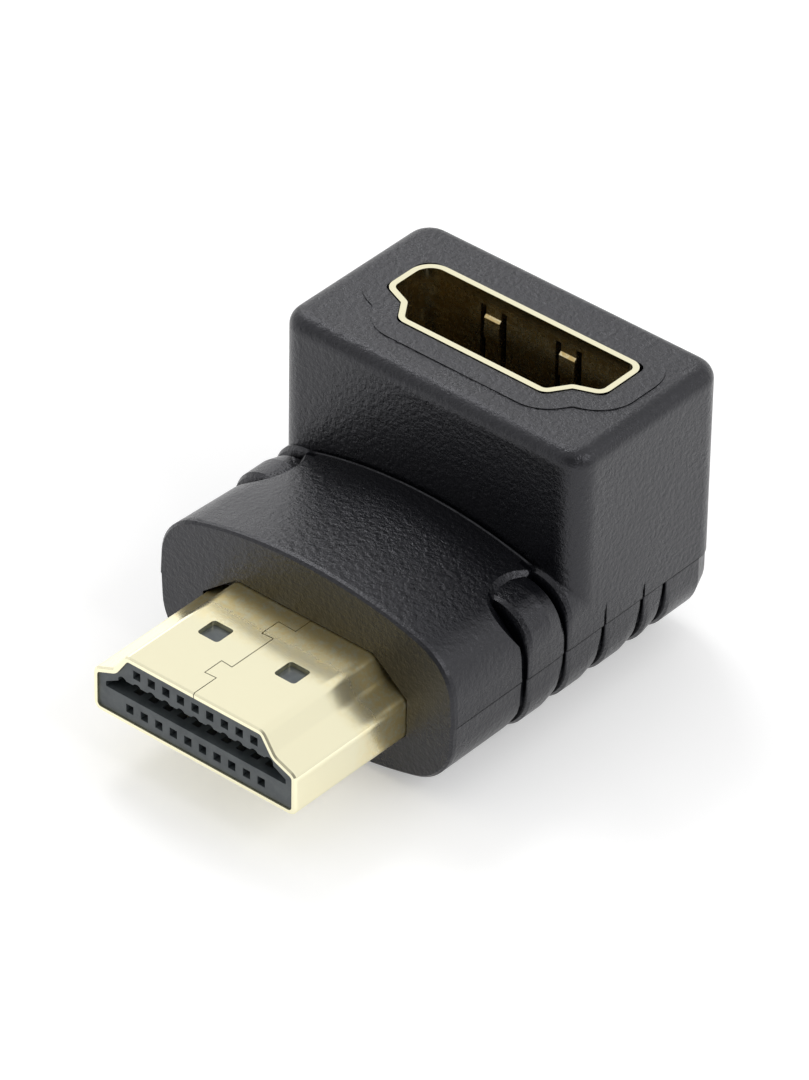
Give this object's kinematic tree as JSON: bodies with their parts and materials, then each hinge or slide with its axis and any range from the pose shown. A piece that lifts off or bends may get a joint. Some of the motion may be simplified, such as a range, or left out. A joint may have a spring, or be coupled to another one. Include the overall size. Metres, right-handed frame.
{
  "type": "right-angle digital video adapter",
  "caption": "Right-angle adapter for digital video leads: a flat gold-plated plug at the front and, above a ribbed black collar, an upright block with a gold-lined socket that opens upward.",
  "frame": {"origin": "on the plug's axis, where the plug leaves the housing's front face", "axes": "-Y along the plug towards its tip, X across the rows of contacts, +Z the way the socket opens"},
  "size_m": [0.0204, 0.03, 0.0173],
  "materials": {
    "pvc_black": "fine-grained soft black moulding",
    "gold_plate": "gold-plated folded sheet, lightly brushed",
    "contact_gold": "bright gold-plated stamping",
    "insulator_grey": "smooth grey moulding",
    "insulator_black": "smooth black moulding",
    "board_green": "solder-masked glass laminate"
  },
  "bodies": {
    "root": {"housing": "pvc_black", "plug_shell": "gold_plate", "plug_insulator": "insulator_grey", "circuit_board": "board_green", "socket_shell": "gold_plate", "socket_insulator": "insulator_black", "plug_contact_01": "contact_gold", "plug_contact_02": "contact_gold", "plug_contact_03": "contact_gold", "plug_contact_04": "contact_gold", "plug_contact_05": "contact_gold", "plug_contact_06": "contact_gold", "plug_contact_07": "contact_gold", "plug_contact_08": "contact_gold", "plug_contact_09": "contact_gold", "plug_contact_10": "contact_gold", "plug_contact_11": "contact_gold", "plug_contact_12": "contact_gold", "plug_contact_13": "contact_gold", "plug_contact_14": "contact_gold", "plug_contact_15": "contact_gold", "plug_contact_16": "contact_gold", "plug_contact_17": "contact_gold", "plug_contact_18": "contact_gold", "plug_contact_19": "contact_gold", "socket_contact_01": "contact_gold", "socket_contact_02": "contact_gold", "socket_contact_03": "contact_gold", "socket_contact_04": "contact_gold", "socket_contact_05": "contact_gold", "socket_contact_06": "contact_gold", "socket_contact_07": "contact_gold", "socket_contact_08": "contact_gold", "socket_contact_09": "contact_gold", "socket_contact_10": "contact_gold", "socket_contact_11": "contact_gold", "socket_contact_12": "contact_gold", "socket_contact_13": "contact_gold", "socket_contact_14": "contact_gold", "socket_contact_15": "contact_gold", "socket_contact_16": "contact_gold", "socket_contact_17": "contact_gold", "socket_contact_18": "contact_gold", "socket_contact_19": "contact_gold"}
  },
  "joints": []
}
